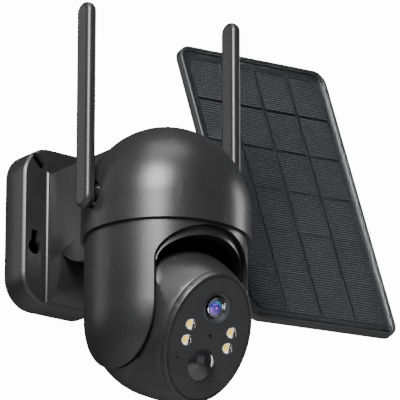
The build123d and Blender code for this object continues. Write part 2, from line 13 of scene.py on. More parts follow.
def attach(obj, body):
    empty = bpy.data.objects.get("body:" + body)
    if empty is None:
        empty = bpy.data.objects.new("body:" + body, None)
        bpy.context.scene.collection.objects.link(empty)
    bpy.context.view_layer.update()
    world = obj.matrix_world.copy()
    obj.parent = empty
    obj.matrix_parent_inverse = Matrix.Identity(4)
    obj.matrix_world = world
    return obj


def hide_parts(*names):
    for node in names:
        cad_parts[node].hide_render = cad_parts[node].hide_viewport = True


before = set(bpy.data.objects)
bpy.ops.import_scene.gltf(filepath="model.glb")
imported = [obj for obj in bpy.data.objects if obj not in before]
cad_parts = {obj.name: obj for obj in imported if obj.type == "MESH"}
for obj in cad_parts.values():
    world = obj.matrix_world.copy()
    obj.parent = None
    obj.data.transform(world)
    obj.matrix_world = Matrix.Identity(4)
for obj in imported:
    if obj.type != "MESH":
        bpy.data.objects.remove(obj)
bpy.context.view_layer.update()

log = logging.getLogger("security_camera")
MM = 0.001

Color = tuple[float, float, float]
Point = tuple[float, float, float]
Socket = bpy.types.NodeSocket


# ------------------------------------------------------------------ node helpers
class Graph:
    """A node tree with a short way to add nodes and join them."""

    def __init__(self, tree: bpy.types.NodeTree) -> None:
        """Keeps the tree.

        Args:
            tree: the node tree to build in.
        """
        self.tree = tree

    def add(self, kind: str, inputs: dict[str | int, object] | None = None,
            **settings: object) -> bpy.types.Node:
        """Adds a node, sets it and joins it.

        Args:
            kind: the node's type without its "ShaderNode" prefix.
            inputs: value, or socket to join, for each input by name or number.
            settings: attributes of the node.

        Returns:
            The new node.
        """
        node = self.tree.nodes.new(kind if kind.startswith("Node") else "ShaderNode" + kind)
        for name, value in settings.items():
            setattr(node, name, value)
        for key, value in (inputs or {}).items():
            if isinstance(value, Socket):
                self.tree.links.new(value, node.inputs[key])
            else:
                node.inputs[key].default_value = value
        return node

    def math(self, operation: str, first: object, second: object = 0.0) -> Socket:
        """Adds a Math node.

        Args:
            operation: the node's operation.
            first: first value or socket.
            second: second value or socket.

        Returns:
            The node's output.
        """
        return self.add("Math", {0: first, 1: second}, operation=operation).outputs[0]

    def ramp(self, value: Socket, low: float, high: float, out: tuple[float, float] = (0, 1)) -> Socket:
        """Maps low..high of a value to a new range, clamped.

        Args:
            value: the socket to map.
            low: value that gives the first end of out.
            high: value that gives the second end of out.
            out: the new range.

        Returns:
            The mapped value.
        """
        inputs = {"Value": value, "From Min": low, "From Max": high, "To Min": out[0], "To Max": out[1]}
        return self.add("MapRange", inputs).outputs[0]

    def blend(self, factor: object, first: object, second: object) -> Socket:
        """Mixes two colours.

        Args:
            factor: 0 gives the first colour and 1 the second.
            first: colour or socket.
            second: colour or socket.

        Returns:
            The mixed colour.
        """
        node = self.add("Mix", {0: factor}, data_type="RGBA")
        for key, value in ((6, first), (7, second)):
            if isinstance(value, Socket):
                self.tree.links.new(value, node.inputs[key])
            else:
                node.inputs[key].default_value = value
        return node.outputs[2]

    def noise(self, vector: Socket, scale: object, detail: float = 3.0) -> Socket:
        """Adds a Noise node and returns its value.

        Args:
            vector: coordinates.
            scale: noise scale.
            detail: number of octaves.

        Returns:
            The noise value.
        """
        node = self.add("TexNoise", {"Vector": vector, "Scale": scale, "Detail": detail})
        return node.outputs[0]


def rgba(color: Color) -> tuple[float, float, float, float]:
    """Adds a full alpha to a colour."""
    return (*color, 1.0)


def moulded_surface() -> bpy.types.NodeTree:
    """Builds the shared effect of a moulded or coated surface: grain, soft unevenness, scuffs and dust.

    Returns:
        The node group.
    """
    tree = bpy.data.node_groups.new("moulded_surface", "ShaderNodeTree")
    sockets = (("Color", "INPUT", "NodeSocketColor"), ("Roughness", "INPUT", "NodeSocketFloat"),
               ("Grain Scale", "INPUT", "NodeSocketFloat"), ("Unevenness", "INPUT", "NodeSocketFloat"),
               ("Scuffs", "INPUT", "NodeSocketFloat"), ("Dust", "INPUT", "NodeSocketFloat"),
               ("Color", "OUTPUT", "NodeSocketColor"), ("Roughness", "OUTPUT", "NodeSocketFloat"),
               ("Height", "OUTPUT", "NodeSocketFloat"))
    for name, way, kind in sockets:
        tree.interface.new_socket(name=name, in_out=way, socket_type=kind)
    g = Graph(tree)
    given = g.add("NodeGroupInput").outputs
    place = g.add("TexCoord")
    at = place.outputs["Object"]
    cloud = g.noise(at, 26.0, 4.0)
    grain = g.noise(at, given["Grain Scale"], 2.0)
    stretched = g.add("Mapping", {"Vector": at, "Rotation": (0.3, 0.5, 0.2), "Scale": (1.0, 1.0, 0.12)})
    scratch = g.ramp(g.noise(stretched.outputs[0], 420.0, 5.0), 0.60, 0.74)
    patch = g.ramp(g.noise(at, 55.0, 2.0), 0.45, 0.7)
    scuff = g.math("MULTIPLY", g.math("MULTIPLY", scratch, patch), given["Scuffs"])
    up = g.add("SeparateXYZ", {0: place.outputs["Normal"]}).outputs[2]
    settled = g.math("MULTIPLY", g.ramp(up, 0.25, 1.0), g.ramp(g.noise(at, 240.0, 5.0), 0.38, 0.72))
    dust = g.math("MULTIPLY", settled, given["Dust"])
    lift = g.math("MULTIPLY", g.ramp(cloud, 0.3, 0.7), given["Unevenness"])
    lighter = g.add("HueSaturation", {"Value": 1.9, "Color": given["Color"]}).outputs[0]
    tone = g.blend(lift, given["Color"], lighter)
    tone = g.blend(g.math("MULTIPLY", scuff, 0.35), tone, (0.16, 0.16, 0.165, 1.0))
    tone = g.blend(dust, tone, (0.30, 0.29, 0.27, 1.0))
    rough = g.math("ADD", given["Roughness"], g.math("MULTIPLY", lift, 0.16))
    rough = g.math("ADD", rough, g.math("MULTIPLY", g.math("SUBTRACT", grain, 0.5), 0.10))
    rough = g.math("ADD", rough, g.math("MULTIPLY", dust, 0.35))
    rough = g.math("SUBTRACT", rough, g.math("MULTIPLY", scuff, 0.10))
    result = {"Color": tone, "Roughness": rough, "Height": grain}
    g.add("NodeGroupOutput", result)
    return tree


SURFACE = moulded_surface()


def new_material(name: str) -> tuple[bpy.types.Material, Graph, bpy.types.Node]:
    """Starts a material that has one Principled shader.

    Args:
        name: the material's name.

    Returns:
        The material, its graph and its shader.
    """
    material = bpy.data.materials.new(name)
    material.use_nodes = True
    material.node_tree.nodes.clear()
    g = Graph(material.node_tree)
    shader = g.add("BsdfPrincipled")
    g.add("OutputMaterial", {"Surface": shader.outputs[0]})
    return material, g, shader


# ------------------------------------------------------------------ finishes
@dataclass(frozen=True)
class Moulding:
    """A moulded, painted or machined finish, with the shared grain, scuffs and dust, and an optional
    painted glow.
    """

    name: str
    color: Color
    roughness: float
    grain_scale: float = 1500.0
    grain_depth: float = 0.12
    unevenness: float = 0.35
    scuffs: float = 0.5
    dust: float = 0.0
    metallic: float = 0.0
    coat: float = 0.0
    specular: float = 0.5
    # Painted glow: emission in the surface's own colour, for parts that are no lit lamp.
    painted_glow: float = 0.0

    def material(self) -> bpy.types.Material:
        """Builds the material.

        Returns:
            The material.
        """
        material, g, shader = new_material(self.name)
        given = {"Color": rgba(self.color), "Roughness": self.roughness, "Grain Scale": self.grain_scale,
                 "Unevenness": self.unevenness, "Scuffs": self.scuffs, "Dust": self.dust}
        group = g.add("Group", node_tree=SURFACE)
        for name, value in given.items():
            group.inputs[name].default_value = value
        bump = g.add("Bump", {"Height": group.outputs["Height"], "Strength": self.grain_depth,
                              "Distance": 0.0003})
        g.tree.links.new(group.outputs["Color"], shader.inputs["Base Color"])
        g.tree.links.new(group.outputs["Roughness"], shader.inputs["Roughness"])
        g.tree.links.new(bump.outputs[0], shader.inputs["Normal"])
        shader.inputs["Metallic"].default_value = self.metallic
        shader.inputs["Coat Weight"].default_value = self.coat
        shader.inputs["Coat Roughness"].default_value = 0.2
        shader.inputs["Specular IOR Level"].default_value = self.specular
        # Painted glow: the colour also shines as emission, though the part is not lit.
        if self.painted_glow:
            g.tree.links.new(group.outputs["Color"], shader.inputs["Emission Color"])
            shader.inputs["Emission Strength"].default_value = self.painted_glow
        return material


@dataclass(frozen=True)
class ClearGlass:
    """Clear glass or clear plastic that lets the lamps light what lies behind it."""

    name: str
    tint: Color
    roughness: float
    ior: float = 1.5
    smudge: float = 0.05

    def material(self) -> bpy.types.Material:
        """Builds the material.

        Returns:
            The material.
        """
        material, g, shader = new_material(self.name)
        at = g.add("TexCoord").outputs["Object"]
        smear = g.ramp(g.noise(at, 60.0, 4.0), 0.4, 0.75, (self.roughness, self.roughness + self.smudge))
        g.tree.links.new(smear, shader.inputs["Roughness"])
        shader.inputs["Base Color"].default_value = rgba(self.tint)
        shader.inputs["IOR"].default_value = self.ior
        shader.inputs["Transmission Weight"].default_value = 1.0
        clear = g.add("BsdfTransparent", {"Color": rgba(self.tint)})
        path = g.add("LightPath")
        mixed = g.add("MixShader", {0: path.outputs["Is Shadow Ray"], 1: shader.outputs[0],
                                    2: clear.outputs[0]})
        output = next(n for n in g.tree.nodes if n.type == "OUTPUT_MATERIAL")
        g.tree.links.new(mixed.outputs[0], output.inputs["Surface"])
        return material


@dataclass(frozen=True)
class PanelGlass:
    """The panel's tempered cover: a pebbled sheet through which the cells show."""

    name: str = "panel_cover_glass"
    roughness: float = 0.05

    def material(self) -> bpy.types.Material:
        """Builds the material.

        Returns:
            The material.
        """
        material = ClearGlass(self.name, (0.97, 0.98, 0.98), self.roughness, 1.22, 0.04).material()
        g = Graph(material.node_tree)
        at = g.add("TexCoord").outputs["Object"]
        pebbles = g.add("TexVoronoi", {"Vector": at, "Scale": 900.0}, feature="SMOOTH_F1")
        bump = g.add("Bump", {"Height": pebbles.outputs["Distance"], "Strength": 0.012, "Distance": 0.0002})
        shader = next(n for n in g.tree.nodes if n.type == "BSDF_PRINCIPLED")
        g.tree.links.new(bump.outputs[0], shader.inputs["Normal"])
        return material


@dataclass(frozen=True)
class PaintedLensReflections:
    """A lens element with a multi-layer coating, painted: violet and blue rings and two glints are painted
    reflections, and it has a painted glow.
    """

    name: str
    place: Matrix
    radius: float
    # Painted reflection rings: (stop, colour) bands that stand for the reflections of the coating and inner
    # elements.
    rings: tuple[tuple[float, Color], ...]

    def material(self) -> bpy.types.Material:
        """Builds the material.

        Returns:
            The material.
        """
        material, g, shader = new_material(self.name)
        at = local_coordinates(g, self.place)
        x, y, _ = g.add("SeparateXYZ", {0: at}).outputs
        distance = g.math("SQRT", g.math("ADD", g.math("MULTIPLY", x, x), g.math("MULTIPLY", y, y)))
        part = g.math("DIVIDE", distance, self.radius)
        # Painted reflections: coloured rings by distance from the centre.
        ramp = g.add("ValToRGB", {0: part})
        bands = ramp.color_ramp.elements
        for index, (stop, color) in enumerate(self.rings):
            band = bands[index] if index < 2 else bands.new(stop)
            band.position, band.color = stop, rgba(color)
        # Painted glints: a green one here and a violet one below, reflections painted at fixed turns round
        # the lens.
        turn = g.math("ARCTAN2", y, x)
        painted_glint = g.ramp(g.math("COSINE", g.math("SUBTRACT", turn, 1.1)), 0.55, 0.95)
        painted_glint = g.math("MULTIPLY", painted_glint, g.ramp(part, 0.45, 0.75))
        tone = g.blend(g.math("MULTIPLY", painted_glint, 0.75), ramp.outputs[0], (0.05, 0.45, 0.40, 1.0))
        second = g.ramp(g.math("COSINE", g.math("SUBTRACT", turn, 4.1)), 0.5, 0.95)
        second = g.math("MULTIPLY", second, g.ramp(part, 0.5, 0.8))
        tone = g.blend(g.math("MULTIPLY", second, 0.7), tone, (0.45, 0.10, 0.65, 1.0))
        g.tree.links.new(tone, shader.inputs["Base Color"])
        # Painted glow: the lens shines its painted reflections, though it is no lamp.
        g.tree.links.new(tone, shader.inputs["Emission Color"])
        shader.inputs["Emission Strength"].default_value = 0.22
        shader.inputs["Roughness"].default_value = 0.08
        shader.inputs["Metallic"].default_value = 0.3
        shader.inputs["Coat Weight"].default_value = 0.3
        return material


@dataclass(frozen=True)
class SolarCell:
    """Dark silicon with printed silver fingers that run across the panel."""

    name: str
    place: Matrix
    finger_pitch: float
    finger_edge: tuple[float, float] = (0.19, 0.11)
    finger_color: Color = (0.05, 0.05, 0.053)
    dark_crystal: Color = (0.001, 0.001, 0.0015)
    light_crystal: Color = (0.002, 0.0022, 0.003)
    crystal_scale: float = 220.0
    roughness: tuple[float, float] = (0.28, 0.5)
    specular: float = 0.08

    def material(self) -> bpy.types.Material:
        """Builds the material.

        Returns:
            The material.
        """
        material, g, shader = new_material(self.name)
        at = local_coordinates(g, self.place)
        _, y, _ = g.add("SeparateXYZ", {0: at}).outputs
        wave = g.math("FRACT", g.math("DIVIDE", g.math("ADD", y, 1.0), self.finger_pitch))
        away = g.math("ABSOLUTE", g.math("SUBTRACT", wave, 0.5))
        finger = g.ramp(away, *self.finger_edge)
        crystal = g.add("TexVoronoi", {"Vector": at, "Scale": self.crystal_scale}).outputs["Color"]
        shade = g.add("SeparateColor", {0: crystal}).outputs[0]
        silicon = g.blend(shade, rgba(self.dark_crystal), rgba(self.light_crystal))
        tone = g.blend(finger, silicon, rgba(self.finger_color))
        g.tree.links.new(tone, shader.inputs["Base Color"])
        g.tree.links.new(g.ramp(finger, 0.0, 1.0, self.roughness), shader.inputs["Roughness"])
        shader.inputs["Specular IOR Level"].default_value = self.specular
        bump = g.add("Bump", {"Height": finger, "Strength": 0.2, "Distance": 0.0001})
        g.tree.links.new(bump.outputs[0], shader.inputs["Normal"])
        return material


@dataclass(frozen=True)
class CircuitBoard:
    """Green solder mask with copper tracks under it."""

    name: str = "circuit_board"

    def material(self) -> bpy.types.Material:
        """Builds the material.

        Returns:
            The material.
        """
        material, g, shader = new_material(self.name)
        at = g.add("TexCoord").outputs["Object"]
        tracks = g.add("TexBrick", {"Vector": at, "Scale": 180.0, "Mortar Size": 0.06})
        mask = g.ramp(g.noise(at, 90.0, 2.0), 0.45, 0.55)
        on = g.math("MULTIPLY", tracks.outputs["Fac"], mask)
        tone = g.blend(on, (0.01, 0.08, 0.035, 1.0), (0.03, 0.17, 0.07, 1.0))
        g.tree.links.new(tone, shader.inputs["Base Color"])
        g.tree.links.new(g.ramp(on, 0.0, 1.0, (0.35, 0.25)), shader.inputs["Roughness"])
        return material


def local_coordinates(g: Graph, place: Matrix) -> Socket:
    """Object coordinates as seen from a turned and shifted frame.

    Args:
        g: the graph to add to.
        place: the frame, in metres.

    Returns:
        The coordinates.
    """
    at = g.add("TexCoord").outputs["Object"]
    inputs = {"Vector": at, "Location": place.to_translation(), "Rotation": place.to_euler()}
    return g.add("Mapping", inputs, vector_type="TEXTURE").outputs[0]


class Finish(Enum):
    """The finishes that sub-assemblies share."""

    SHELL = Moulding("satin_black_shell", (0.012, 0.012, 0.0125), 0.33, dust=0.015)
    FACE = Moulding("charcoal_face", (0.020, 0.020, 0.0215), 0.42, 2200.0, 0.08, 0.2, 0.25)
    INSIDE = Moulding("matte_black_inside", (0.006, 0.006, 0.0065), 0.6, scuffs=0.2)
    DARK = Moulding("dark_plastic", (0.016, 0.016, 0.017), 0.45)
    ACETAL = Moulding("acetal_gear", (0.62, 0.61, 0.57), 0.4, unevenness=0.1, scuffs=0.1)
    STEEL = Moulding("turned_steel", (0.55, 0.55, 0.57), 0.28, 700.0, 0.1, metallic=1.0)
    ZINC = Moulding("powder_coated_bracket", (0.02, 0.02, 0.021), 0.5, 1100.0, 0.35)
    FRAME = Moulding("panel_frame_plastic", (0.018, 0.018, 0.019), 0.34, dust=0.02)
    BACK = Moulding("panel_back_plastic", (0.016, 0.016, 0.017), 0.5, 800.0, 0.4)
    BACKSHEET = Moulding("panel_backsheet", (0.004, 0.004, 0.005), 0.35)
    RUBBER = Moulding("black_rubber", (0.012, 0.012, 0.012), 0.7, 1800.0, 0.2)
    PIR = Moulding("dark_gloss_dome", (0.008, 0.008, 0.009), 0.10, 400.0, 0.02, 0.1, 0.1, coat=0.6)
    WRAP = Moulding("cell_wrap", (0.05, 0.16, 0.40), 0.35)
    # The LED ceramic and phosphor carry a painted glow that brightens them, though the LEDs are not lit.
    CERAMIC = Moulding("led_ceramic_painted_glow", (0.92, 0.92, 0.90), 0.4, unevenness=0.02, scuffs=0.0, painted_glow=0.9)
    PHOSPHOR = Moulding("led_phosphor_painted_glow", (0.95, 0.66, 0.06), 0.5, 2500.0, 0.3, 0.05, 0.0, painted_glow=1.2)
    MIRROR = Moulding("led_reflector", (0.22, 0.24, 0.34), 0.2, unevenness=0.1, scuffs=0.0, metallic=1.0)
    CLEAR = ClearGlass("clear_plastic", (0.97, 0.97, 1.0), 0.02)
    LENS_GLASS = ClearGlass("front_lens_glass", (0.90, 0.92, 1.0), 0.0, 1.52, 0.02)
    COVER_GLASS = PanelGlass()
    BOARD = CircuitBoard()
    SCREW = Moulding("black_screw", (0.03, 0.03, 0.032), 0.3, metallic=0.8)


class Paints:
    """Builds each finish once."""

    def __init__(self) -> None:
        """Starts with none built."""
        self.built: dict[Finish, bpy.types.Material] = {}

    def get(self, finish: Finish) -> bpy.types.Material:
        """The finish's material, built the first time it is asked for."""
        if finish not in self.built:
            self.built[finish] = finish.value.material()
        return self.built[finish]


PAINTS = Paints()


# ------------------------------------------------------------------ mesh helpers
def spun(profile: list[tuple[float, float]], place: Matrix, steps: int = 64) -> bmesh.types.BMesh:
    """Turns a profile round its own Z axis.

    Args:
        profile: (radius, height) points in millimetres.
        place: where the axis stands, in metres.
        steps: steps of the full turn.

    Returns:
        The mesh, in place.
    """
    bm = bmesh.new()
    points = [bm.verts.new((radius * MM, 0.0, height * MM)) for radius, height in profile]
    edges = [bm.edges.new(pair) for pair in zip(points, points[1:])]
    bmesh.ops.spin(bm, geom=points + edges, cent=(0, 0, 0), axis=(0, 0, 1), angle=math.tau,
                   steps=steps, use_merge=True)
    bmesh.ops.remove_doubles(bm, verts=bm.verts, dist=1e-7)
    bmesh.ops.recalc_face_normals(bm, faces=bm.faces)
    bmesh.ops.transform(bm, matrix=place, verts=bm.verts)
    return bm


def block(bm: bmesh.types.BMesh, size: Point, place: Matrix, edge: float = 0.0) -> None:
    """Adds a box with rounded edges.

    Args:
        bm: the mesh to add to.
        size: its three sides, in millimetres.
        place: its centre and turn, in metres.
        edge: radius of its edges, in millimetres.
    """
    sides = Matrix.Diagonal((*(s * MM for s in size), 1.0))
    made = bmesh.ops.create_cube(bm, size=1.0, matrix=place @ sides)["verts"]
    if edge:
        edges = list({e for v in made for e in v.link_edges})
        bmesh.ops.bevel(bm, geom=edges, offset=edge * MM, segments=3, profile=0.5, affect="EDGES",
                        material=-1)


def shift(x: float, y: float, z: float) -> Matrix:
    """A move, in millimetres."""
    return Matrix.Translation((x * MM, y * MM, z * MM))


def join(parts: list[bmesh.types.BMesh]) -> bmesh.types.BMesh:
    """Puts meshes into one.

    Args:
        parts: the meshes, which are freed.

    Returns:
        The joined mesh.
    """
    whole = bmesh.new()
    for part in parts:
        mesh = bpy.data.meshes.new("part")
        part.to_mesh(mesh)
        part.free()
        whole.from_mesh(mesh)
        bpy.data.meshes.remove(mesh)
    return whole


def piece(name: str, bm: bmesh.types.BMesh, finish: bpy.types.Material, body: str,
          replaced: tuple[str, ...] = (), sharp: float = 35.0) -> bpy.types.Object:
    """Makes a mesh into a piece of the object.

    Args:
        name: the piece's name.
        bm: its mesh, in place, which is freed.
        finish: its material.
        body: the body it rides on.
        replaced: CAD nodes it stands for.
        sharp: edges steeper than this many degrees stay sharp.

    Returns:
        The new object.
    """
    mesh = bpy.data.meshes.new(name)
    bm.to_mesh(mesh)
    bm.free()
    mesh.shade_smooth()
    mesh.set_sharp_from_angle(angle=math.radians(sharp))
    mesh.materials.append(finish)
    made = bpy.data.objects.new(name, mesh)
    bpy.context.scene.collection.objects.link(made)
    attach(made, body)
    if replaced:
        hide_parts(*replaced)
    log.info("piece %s: %d faces, on %s", name, len(mesh.polygons), body)
    return made


def dress(finish: Finish, *nodes: str) -> None:
    """Gives CAD nodes a material.

    Args:
        finish: the finish.
        nodes: the nodes' names.
    """
    for name in nodes:
        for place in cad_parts[name].material_slots:
            place.material = PAINTS.get(finish)
        log.info("dressed %s in %s", name, finish.value.name)


def refine(node: str, finish: Finish, body: str, edge: float = 0.5) -> None:
    """Replaces a CAD node by a merged copy of it with rounded edges and smooth shading.

    Args:
        node: the CAD node.
        finish: its finish.
        body: the body it rides on.
        edge: width of the rounded edges, in millimetres.
    """
    bm = bmesh.new()
    bm.from_mesh(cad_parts[node].data)
    bmesh.ops.remove_doubles(bm, verts=bm.verts, dist=2e-6)
    bmesh.ops.dissolve_limit(bm, angle_limit=math.radians(0.4), verts=bm.verts, edges=bm.edges)
    hard = [e for e in bm.edges if e.is_manifold and e.calc_face_angle(0.0) > math.radians(38)]
    bmesh.ops.bevel(bm, geom=hard, offset=edge * MM, segments=2, profile=0.5, affect="EDGES",
                    clamp_overlap=True, material=-1)
    bmesh.ops.triangulate(bm, faces=[f for f in bm.faces if len(f.verts) > 4])
    piece(f"{node}_finished", bm, PAINTS.get(finish), body, (node,), 30.0)


# ------------------------------------------------------------------ sub-assemblies
@dataclass
class WallBody:
    """Wall plate, arm and domed body."""

    tab_size: Point = (9.0, 3.0, 1.6)
    plug_centre: Point = (0.0, -52.5, -34.0)

    def build(self) -> None:
        """Dresses the frame and adds the plug's finger tab."""
        dress(Finish.SHELL, "dome_shell")
        for node in ("wall_plate", "bracket_arm"):
            refine(node, Finish.SHELL, "wall_mount", 0.6)
        dress(Finish.DARK, "rear_cover", "charging_inlet", "dome_base_plate")
        dress(Finish.ACETAL, "pan_bearing", "pan_pinion", "antenna_bushes")
        dress(Finish.STEEL, "pan_motor")
        dress(Finish.WRAP, "battery_cells")
        dress(Finish.BOARD, "main_board")
        dress(Finish.RUBBER, "inlet_flap")
        bm = bmesh.new()
        block(bm, self.tab_size, shift(*self.plug_centre), 0.6)
        piece("plug_finger_tab", bm, PAINTS.get(Finish.RUBBER), "inlet_plug")


@dataclass
class Antennas:
    """The two folding blades."""

    names: tuple[str, str] = ("antenna_left", "antenna_right")

    def build(self) -> None:
        """Dresses both blades."""
        dress(Finish.SHELL, *self.names)


@dataclass
class Yoke:
    """The turning fork that holds the head."""

    def build(self) -> None:
        """Dresses the fork and its drive."""
        dress(Finish.SHELL, "yoke_shell", "yoke_arch_trim")
        dress(Finish.INSIDE, "yoke_hub", "arm_cover_left", "arm_cover_right")
        dress(Finish.ACETAL, "pan_gear", "tilt_bush_left", "tilt_gear")
        dress(Finish.STEEL, "tilt_axle", "arm_cover_screws")


@dataclass
class Head:
    """The ball head with its face, lens, lamps and sensors."""

    pivot: Point = (0.0, -124.9, -83.5)
    tilt: float = 26.0
    face_reach: float = 46.4
    lens_at: tuple[float, float] = (0.0, 18.7)
    lamp_x: float = 15.6
    lamp_heights: tuple[float, float] = (6.0, -3.7)
    sensor_at: tuple[float, float] = (0.0, 1.0)
    place: Matrix = field(init=False)

    def __post_init__(self) -> None:
        """Works out where the face stands: local Z points out of it and local Y up it."""
        turned = Matrix.Rotation(math.radians(self.tilt), 4, "X")
        outwards = Matrix.Rotation(math.radians(90.0), 4, "X")
        self.place = shift(*self.pivot) @ turned @ shift(0, -self.face_reach, 0) @ outwards

    def on_face(self, x: float, y: float, z: float = 0.0) -> Matrix:
        """A place on the face, in millimetres from its centre."""
        return self.place @ shift(x, y, z)

    def build(self) -> None:
        """Dresses the head and adds its fine pieces."""
        dress(Finish.SHELL, "head_rear_shell", "card_cover")
        for node in ("head_front_shell", "face_bezel"):
            refine(node, Finish.SHELL, "head", 0.3)
        dress(Finish.FACE, "face_plate", "lens_ring")
        dress(Finish.INSIDE, "lens_barrel", "led_board", "head_board", "card_slot", "speaker")
        dress(Finish.BOARD, "image_sensor_board")
        dress(Finish.ACETAL, "tilt_trunnion", "tilt_bush_right", "tilt_pinion")
        dress(Finish.STEEL, "tilt_motor", "pir_sensor")
        dress(Finish.PIR, "pir_lens")
        dress(Finish.CLEAR, "led_lenses")
        dress(Finish.DARK, "reset_button", "power_button")
        self.lens()
        self.lamps()
        self.light_sensor()

    def lens(self) -> None:
        """Builds the lens: a clear front element, stepped black rings and an inner element with painted
        reflections and a painted glow.
        """
        at = self.on_face(*self.lens_at)
        front = [(0, 0.95), (1.5, 0.86), (3.0, 0.62), (4.5, 0.22), (5.6, -0.2), (6.1, -0.5), (6.1, -1.9),
                 (5.6, -1.9), (4.2, -1.1), (2.8, -0.6), (1.4, -0.36), (0, -0.3)]
        piece("lens_front_element", spun(front, at, 96), PAINTS.get(Finish.LENS_GLASS), "head",
              ("lens_glass",))
        rings = [(6.15, -1.95), (6.15, -2.85), (4.95, -3.3), (4.95, -5.4), (3.0, -5.4), (3.0, -3.9),
                 (4.35, -3.2), (4.35, -2.5), (5.0, -2.2), (5.0, -2.0), (5.5, -1.95), (6.15, -1.95)]
        piece("lens_ring_stack", spun(rings, at, 96), PAINTS.get(Finish.INSIDE), "head")
        # Painted reflections of the coating and inner elements, as coloured rings from the centre out.
        painted_reflection_tones = ((0.0, (0.45, 0.04, 0.50)), (0.15, (0.60, 0.10, 0.75)), (0.24, (0.01, 0.005, 0.05)),
                 (0.40, (0.03, 0.015, 0.40)), (0.52, (0.16, 0.04, 0.55)), (0.66, (0.008, 0.008, 0.10)),
                 (0.84, (0.01, 0.04, 0.45)), (1.0, (0.004, 0.004, 0.02)))
        coat = PaintedLensReflections("inner_lens_painted_reflections", at, 4.9 * MM, painted_reflection_tones)
        inner = [(0, -1.15), (1.2, -1.22), (2.4, -1.45), (3.6, -1.85), (4.3, -2.2), (4.3, -3.1), (0, -3.1)]
        piece("lens_inner_element", spun(inner, at, 96), coat.material(), "head")
        collar = [(4.4, -2.05), (5.0, -1.9), (5.1, -2.15), (4.4, -2.45), (4.4, -2.05)]
        piece("lens_inner_collar", spun(collar, at, 96), PAINTS.get(Finish.DARK), "head")

    def lamps(self) -> None:
        """Builds the four lamps: ceramic base and yellow phosphor, both with a painted glow, wires and a
        bright cup.
        """
        bases, phosphor, cups, wires = bmesh.new(), bmesh.new(), [], bmesh.new()
        for x in (-self.lamp_x, self.lamp_x):
            for y in self.lamp_heights:
                at = self.on_face(x, y)
                block(bases, (4.2, 4.2, 0.6), at @ shift(0, 0, -3.78), 0.12)
                block(phosphor, (2.3, 2.6, 0.16), at @ shift(0.5, 0, -3.39), 0.05)
                block(wires, (0.5, 3.2, 0.1), at @ shift(-1.5, 0, -3.42), 0.03)
                cups.append(spun([(3.1, -4.05), (3.15, -3.7), (3.55, -3.3), (3.65, -3.3), (3.65, -4.05),
                                  (3.1, -4.05)], at, 40))
        # The bases and phosphor wear finishes with a painted glow.
        piece("lamp_bases", bases, PAINTS.get(Finish.CERAMIC), "head", ("led_chips",))
        piece("lamp_phosphor", phosphor, PAINTS.get(Finish.PHOSPHOR), "head")
        piece("lamp_contacts", wires, PAINTS.get(Finish.STEEL), "head")
        piece("lamp_cups", join(cups), PAINTS.get(Finish.MIRROR), "head")

    def light_sensor(self) -> None:
        """Builds the small dark window of the light sensor."""
        at = self.on_face(*self.sensor_at)
        window = [(0, -0.45), (0.8, -0.5), (1.4, -0.7), (1.5, -0.9), (1.5, -2.4), (0, -2.4)]
        piece("light_sensor_window", spun(window, at, 40), PAINTS.get(Finish.PIR), "head")


